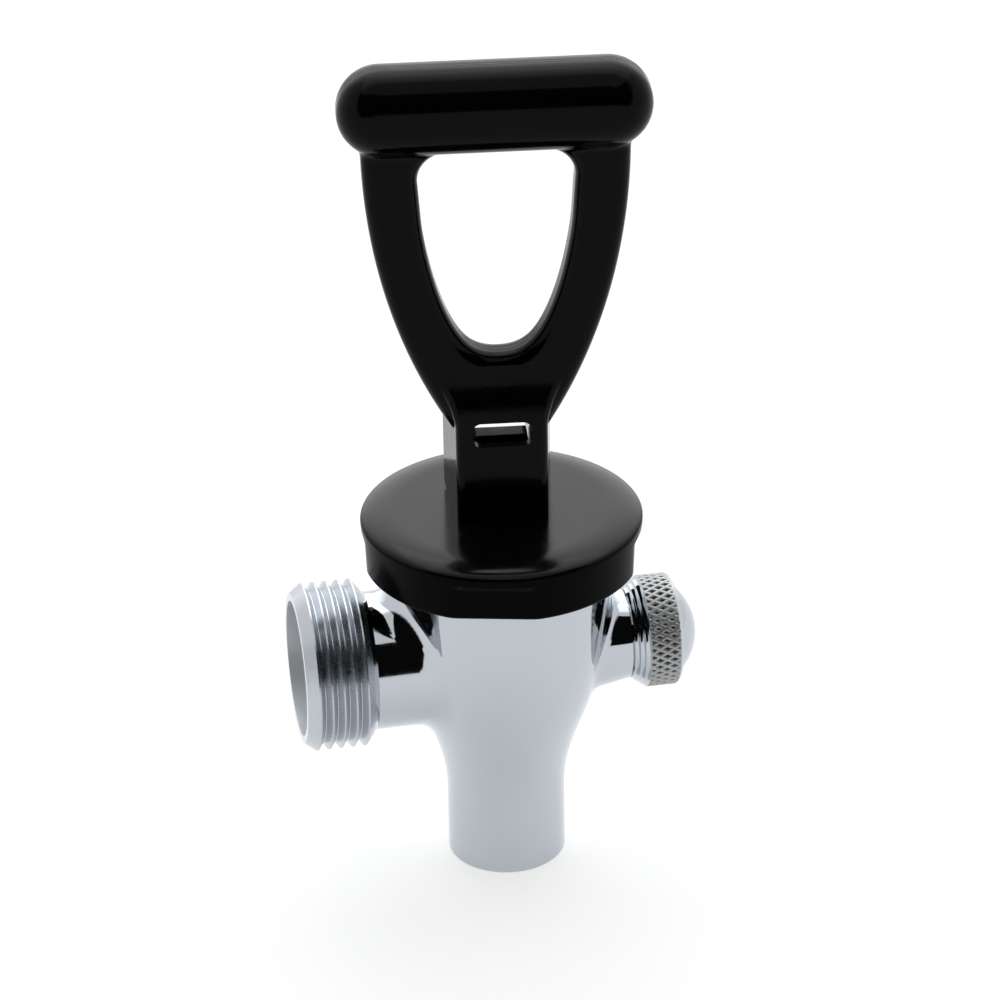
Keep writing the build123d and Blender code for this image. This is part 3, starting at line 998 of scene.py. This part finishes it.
@dataclass
class Bonnet:
    """Black cap nut: a rounded lid over a skirt with soft-cornered wrench flats.

    Attributes:
        rim_round: Width of the rim's rounding.
        rim_drop: Height of the rim's rounding.
        turn: Angle in degrees that the flats are left at.
    """

    top: float = 24.2 * MM
    foot: float = 15.7 * MM
    rim_radius: float = 21.15 * MM
    rim_round: float = 5.4 * MM
    rim_drop: float = 1.6 * MM
    foot_radius: float = 20.9 * MM
    foot_round: float = 0.6 * MM
    bore: float = 16.08 * MM
    bore_margin: float = 0.5 * MM
    stem_hole: float = 2.81 * MM
    flats: int = 4
    flat_half_angle: float = 17.5
    turn: float = -14.0
    flat_top: float = 21.6 * MM
    flat_run: float = 0.9 * MM
    corner_softness: float = 0.16 * MM
    coarse: float = 1.5 * MM
    fine: float = 0.2 * MM
    bend_steps: int = 17
    steps: int = 720
    # Painted shade: the bonnet's upright sides get a lower specular level than its lid, which
    # darkens them.
    finish: BlackMoulding = BlackMoulding("bonnet_black", smooth=0.12, dull=0.2,
                                          sink_depth=0.03 * MM, gloss=0.17, side_shade_gloss=0.03)

    def section(self) -> Tuple[np.ndarray, np.ndarray]:
        """Half section, round from the stem's hole over the lid and down the skirt into the bore.

        Returns:
            Points as (radius, height), and for each point how fully the flats show there.
        """
        ceiling = LAYOUT.ceiling
        bend = np.linspace(0.0, QUARTER_TURN, self.bend_steps)
        lid = sampled([(self.stem_hole, ceiling), (self.stem_hole, self.top),
                       (self.rim_radius - self.rim_round, self.top)], self.coarse)[:-1]
        rim = np.stack([self.rim_radius - self.rim_round * (1.0 - np.sin(bend)),
                        self.top - self.rim_drop * (1.0 - np.cos(bend))], axis=-1)
        skirt = sampled([tuple(rim[-1]), (self.foot_radius, self.foot + self.foot_round)],
                        self.fine)[1:]
        toe = np.stack([self.foot_radius - self.foot_round * (1.0 - np.cos(bend)),
                        self.foot + self.foot_round * (1.0 - np.sin(bend))], axis=-1)[1:]
        inside = sampled([tuple(toe[-1]), (self.bore, self.foot), (self.bore, ceiling),
                          (self.stem_hole, ceiling)], self.coarse)[1:-1]
        points = np.vstack([lid, rim, skirt, toe, inside])
        ease = np.clip((self.flat_top - points[:, 1]) / self.flat_run, 0.0, 1.0)
        outer = (points[:, 0] > self.bore + self.bore_margin) & (points[:, 1] < self.flat_top)
        return points, ease * ease * (3.0 - 2.0 * ease) * outer

    def build(self, effects: Effects) -> None:
        """Builds the bonnet from its section and its plan.

        A flat lies at d / cos(a - m) from the axis, where m is the middle of the nearest flat.
        It is joined to the round by a soft minimum, (r + f - sqrt((r - f)^2 + s^2)) / 2.

        Args:
            effects: Shared effect groups.
        """
        points, shown = self.section()
        round_radius, height = points[:, :1], points[:, 1:]
        angle = around(self.steps)
        pitch = FULL_TURN / self.flats
        from_middle = (angle - math.radians(self.turn) + pitch / 2) % pitch - pitch / 2
        flat = round_radius * math.cos(math.radians(self.flat_half_angle)) / np.cos(from_middle)
        apart = np.hypot(round_radius - flat, self.corner_softness)
        cut = (round_radius + flat - apart) / 2.0
        radius = round_radius + shown[:, None] * (cut - round_radius)
        surface = GridSurface(spun(radius, height, angle, TurningAxis.BARREL), wrap_rows=True)
        bonnet = surface.build("flatted_bonnet", 40.0)
        dress(bonnet, self.finish.material(effects))
        seat(bonnet, Body.CASTING, Slot.BLACK, "bonnet")


@dataclass
class Handle:
    """Black loop handle and its cross pin."""

    node: str = "handle"
    pin_node: str = "handle_pin"
    finish: BlackMoulding = BlackMoulding("handle_black", parting_line=True)

    def build(self, effects: Effects, steel: bpy.types.Material) -> None:
        """Dresses the handle and the pin.

        Args:
            effects: Shared effect groups.
            steel: Finish of the pin.
        """
        dress(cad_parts[self.node], self.finish.material(effects))
        dress(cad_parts[self.pin_node], steel)


@dataclass
class Cartridge:
    """What works inside the bonnet: stem, washer, closing spring and silicone cup.

    Attributes:
        wire: Radius of the spring's wire.
        dead_turns: Turns at each end over which the spring closes up.
        end_share: Share of the wire over which each end is rounded off.
    """

    wire: float = 0.55 * MM
    coil: float = 5.6 * MM
    bottom: float = 2.0 * MM
    lift: float = 1.69 * MM
    turns: float = 6.0
    dead_turns: float = 0.9
    end_share: float = 0.0015
    wire_points: int = 700
    wire_steps: int = 14
    seat: float = -11.5 * MM
    plug_radius: float = 7.8 * MM
    plug_top: float = -3.4 * MM
    cup_radius: float = 10.6 * MM
    cup_wall: float = 1.2 * MM
    cup_shoulder: float = 2.0 * MM
    collar_top: float = 19.0 * MM
    flange_radius: float = 15.92 * MM
    stem_hole: float = 2.8 * MM
    bulb_radius: float = 4.05 * MM
    bulb_top: float = -5.35 * MM
    bulb_bottom: float = -8.45 * MM
    cup_spacing: float = 0.5 * MM
    cup_steps: int = 180
    stem_finish: BlackMoulding = BlackMoulding("stem_black", colour=(0.02, 0.02, 0.021),
                                               smooth=0.25, dull=0.4)
    cup_finish: SoftMoulding = SoftMoulding("cup_silicone", (0.68, 0.67, 0.63), (0.6, 0.58, 0.53))

    def spring(self) -> bpy.types.Object:
        """Closing spring: a round wire along a helix whose end turns lie flat.

        The height climbs as an eased curve of the turn angle, so the first and last turns are
        closed up and the working turns between them are even.

        Returns:
            The spring.
        """
        share = np.linspace(0.0, 1.0, self.wire_points)
        from_end = np.minimum(share, 1.0 - share)
        angle = FULL_TURN * self.turns * share
        slope = np.clip(from_end / (self.dead_turns / self.turns), 0.0, 1.0) ** 2
        climb = np.concatenate([[0.0], np.cumsum((slope[1:] + slope[:-1]) / 2.0)])
        low = self.bottom + self.wire
        high = LAYOUT.ceiling - self.wire
        path = np.stack([
            LAYOUT.barrel_x + self.coil * np.cos(angle),
            self.coil * np.sin(angle),
            low + (high - low) * climb / climb[-1],
        ], axis=-1)
        radius = self.wire * np.sqrt(np.clip(from_end / self.end_share, 0.0, 1.0))
        return tube(path, radius, self.wire_steps).build("closing_spring", 60.0)

    def cup(self) -> bpy.types.Object:
        """Silicone cup: a turned section from the plug's foot round the bell to the stem's pocket.

        Returns:
            The cup.
        """
        edge = self.cup_radius - self.cup_wall
        well = self.plug_top + self.cup_wall
        outside = [(0.0, self.seat), (self.plug_radius, self.seat),
                   (self.plug_radius, self.plug_top), (self.cup_radius, self.cup_shoulder),
                   (self.cup_radius, self.collar_top), (self.flange_radius, self.collar_top),
                   (self.flange_radius, LAYOUT.ceiling)]
        inside = [(edge, LAYOUT.ceiling), (edge, self.cup_shoulder + self.cup_wall / 2),
                  (self.plug_radius - self.cup_wall, well), (self.stem_hole, well),
                  (self.stem_hole, self.bulb_top), (self.bulb_radius, self.bulb_top),
                  (self.bulb_radius, self.bulb_bottom), (0.0, self.bulb_bottom)]
        profile = sampled(outside + inside, self.cup_spacing)
        return turned(profile, self.cup_steps, TurningAxis.BARREL).build("silicone_cup", 40.0)

    def build(self, effects: Effects, steel: bpy.types.Material) -> None:
        """Builds the spring and the cup, and dresses the rest.

        Args:
            effects: Shared effect groups.
            steel: Finish of the spring and the washer.
        """
        spring = self.spring()
        dress(spring, steel)
        seat(spring, Body.CASTING, Slot.STEEL, "spring")
        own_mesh(spring)
        dress(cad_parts["spring_washer"], steel)
        dress(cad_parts["stem"], self.stem_finish.material(effects))
        cup = self.cup()
        dress(cup, self.cup_finish.material(effects))
        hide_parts("seat_cup")
        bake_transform(cup)


# Studio


@dataclass
class Studio:
    """Pale floor, soft light and the camera.

    Azimuths and elevations are directions from the object in degrees, with azimuth 0 towards -Y
    and 90 towards +X.

    Attributes:
        floor_lift: How far the floor is lifted to white for the rays that see it.
        tent_unseen: Level of the tent for rays that don't see it directly.
        open_soft: Softness of the edge of the tent's opening, as a cosine.
        horizon: Heights of a ray between which the table's horizon cuts the room off.
    """

    floor_z: float = -35.45 * MM
    floor_radius: float = 6.0
    floor_rings: int = 24
    floor_steps: int = 96
    floor_colour: Colour = (0.42, 0.425, 0.43)
    floor_rough: float = 0.9
    floor_lift: float = 0.7
    aim: Tuple[float, float, float] = (30.1 * MM, 0.0, 9.3 * MM)
    aim_pixel: Tuple[float, float] = (502.7, 592.3)
    azimuth: float = -10.44
    elevation: float = 29.2
    roll: float = -0.97
    distance: float = 650.0 * MM
    focal_pixels: float = 4303.0
    image: float = 1000.0
    sensor: float = 36.0
    clip: Span = (0.01, 50.0)
    tent_colour: Colour = (0.985, 0.99, 1.0)
    tent_unseen: float = 0.6
    open_azimuth: float = -8.0
    open_elevation: float = 40.0
    open_angle: float = 57.0
    open_soft: float = 0.06
    horizon: Span = (-0.02, 0.0)
    room_level: float = 0.004
    glow_azimuth: float = 168.0
    glow_elevation: float = 33.0
    glow_angle: float = 50.0
    glow_level: float = 1.3
    panel_azimuth: float = 150.0
    panel_elevation: float = 84.0
    panel_distance: float = 1.3
    panel_size: float = 1.8
    panel_watts: float = 9.0

    def direction(self, azimuth: float, elevation: float) -> Vector:
        """Unit direction from the object."""
        a, e = math.radians(azimuth), math.radians(elevation)
        return Vector((math.sin(a) * math.cos(e), -math.cos(a) * math.cos(e), math.sin(e)))

    def place(self, name: str, data: bpy.types.ID, away: Vector,
              distance: float) -> bpy.types.Object:
        """Stands a lamp or the camera off the aim point, facing it.

        Args:
            name: Name of the object.
            data: Lamp or camera.
            away: Unit direction from the aim point.
            distance: Distance from the aim point.

        Returns:
            The object.
        """
        item = bpy.data.objects.new(name, data)
        item.location = Vector(self.aim) + away * distance
        item.rotation_mode = "QUATERNION"
        item.rotation_quaternion = (-away).to_track_quat("-Z", "Y")
        bpy.context.scene.collection.objects.link(item)
        return item

    def camera(self) -> None:
        """Places the camera, and turns it so that the aim point falls on its pixel."""
        data = bpy.data.cameras.new("studio_camera")
        data.sensor_width = self.sensor
        data.lens = self.focal_pixels / self.image * data.sensor_width
        data.clip_start, data.clip_end = self.clip
        away = self.direction(self.azimuth, self.elevation)
        camera = self.place("studio_camera", data, away, self.distance)
        pan, tilt = (math.atan((pixel - self.image / 2) / self.focal_pixels)
                     for pixel in self.aim_pixel)
        facing = (-away).to_track_quat("-Z", "Y")
        rolled = facing @ Euler((0.0, 0.0, math.radians(self.roll))).to_quaternion()
        camera.rotation_quaternion = rolled @ Euler((tilt, pan, 0.0)).to_quaternion()
        bpy.context.scene.camera = camera

    def floor(self) -> None:
        """Floor disc: rings of points, r = R share squared, round the spot under the spout."""
        share = np.linspace(0.0, 1.0, self.floor_rings) ** 2
        level = np.full_like(share, self.floor_z)
        profile = np.stack([self.floor_radius * share, level], axis=-1)
        floor = turned(profile, self.floor_steps, TurningAxis.BARREL).build("studio_floor")
        dress(floor, self.floor_material())

    def seen_rays(self, graph: Graph) -> Socket:
        """Mask of the camera, mirror and glass rays, which see the background as white."""
        path = graph.add("LightPath").outputs
        seen = graph.math("MAXIMUM", path["Is Camera Ray"], path["Is Glossy Ray"])
        return graph.math("MAXIMUM", seen, path["Is Transmission Ray"])

    def floor_material(self) -> bpy.types.Material:
        """White floor that keeps a soft shadow.

        Returns:
            The material: a pale matt surface, lifted to white for the rays that see it.
        """
        paint = Paint("studio_white")
        lift = paint.graph.math("MULTIPLY", self.seen_rays(paint.graph), self.floor_lift)
        paint.set(Base_Color=(*self.floor_colour, 1.0), Roughness=self.floor_rough,
                  Specular_IOR_Level=0.0, Emission_Color=(1.0, 1.0, 1.0, 1.0),
                  Emission_Strength=lift)
        return paint.material

    def toward(self, graph: Graph, ray: Socket, azimuth: float, elevation: float) -> Socket:
        """Cosine of the angle between a ray and a fixed direction.

        Args:
            graph: Graph to add to.
            ray: Unit direction of the ray.
            azimuth: Azimuth of the fixed direction.
            elevation: Its elevation.

        Returns:
            The cosine.
        """
        node = graph.add("VectorMath", operation="DOT_PRODUCT")
        graph.feed(node.inputs[0], ray)
        graph.feed(node.inputs[1], self.direction(azimuth, elevation))
        return node.outputs["Value"]

    def world(self) -> None:
        """White tent round the object, open to a dark room on the photographer's side.

        The room is a round window in direction space, cut off by the table's horizon. Behind the
        object the tent glows, most in one direction and less with the angle from it.
        """
        world = bpy.data.worlds.new("studio_tent")
        bpy.context.scene.world = world
        world.use_nodes = True
        tree = world.node_tree
        tree.nodes.clear()
        graph = Graph(tree)
        ray = graph.put(graph.add("VectorMath", operation="NORMALIZE"),
                        Vector=graph.add("TexCoord").outputs["Generated"]).outputs[0]
        height = graph.put(graph.add("SeparateXYZ"), Vector=ray).outputs["Z"]
        window = self.toward(graph, ray, self.open_azimuth, self.open_elevation)
        edge = math.cos(math.radians(self.open_angle))
        inside = graph.span(window, (edge - self.open_soft, edge + self.open_soft), 0.0, 1.0, True)
        above = graph.span(height, self.horizon, 0.0, 1.0, True)
        room = graph.math("MULTIPLY", inside, above)
        behind = self.toward(graph, ray, self.glow_azimuth, self.glow_elevation)
        glow_reach = (math.cos(math.radians(self.glow_angle)), 1.0)
        glow = graph.span(behind, glow_reach, 0.0, self.glow_level, True)
        tent = graph.span(self.seen_rays(graph), UNIT, self.tent_unseen, 1.0)
        level = graph.math("MULTIPLY", graph.math("ADD", tent, glow),
                           graph.span(room, UNIT, 1.0, self.room_level))
        light = graph.put(graph.add("Background"), Color=(*self.tent_colour, 1.0), Strength=level)
        tree.links.new(light.outputs[0], graph.add("OutputWorld").inputs["Surface"])

    def panel(self) -> None:
        """Adds a soft square lamp overhead."""
        data = bpy.data.lights.new("top_panel", "AREA")
        data.shape = "RECTANGLE"
        data.size = data.size_y = self.panel_size
        data.energy = self.panel_watts
        away = self.direction(self.panel_azimuth, self.panel_elevation)
        self.place("top_panel", data, away, self.panel_distance)

    def build(self) -> None:
        """Sets up the studio."""
        bpy.context.scene.view_settings.view_transform = "Standard"
        self.world()
        self.floor()
        self.panel()
        self.camera()
        LOG.info("studio set up")


def main() -> None:
    """Builds every sub-assembly in order, then the studio."""
    logging.basicConfig(level=logging.INFO, format="%(name)s: %(message)s")
    effects = Effects.build()
    steel = DrawnSteel().material(effects)
    Casting().build(effects)
    Bonnet().build(effects)
    Handle().build(effects, steel)
    Cartridge().build(effects, steel)
    CleanOutCap().build(effects)
    Studio().build()
    LOG.info("boxes written")


if __name__ == "__main__":
    main()
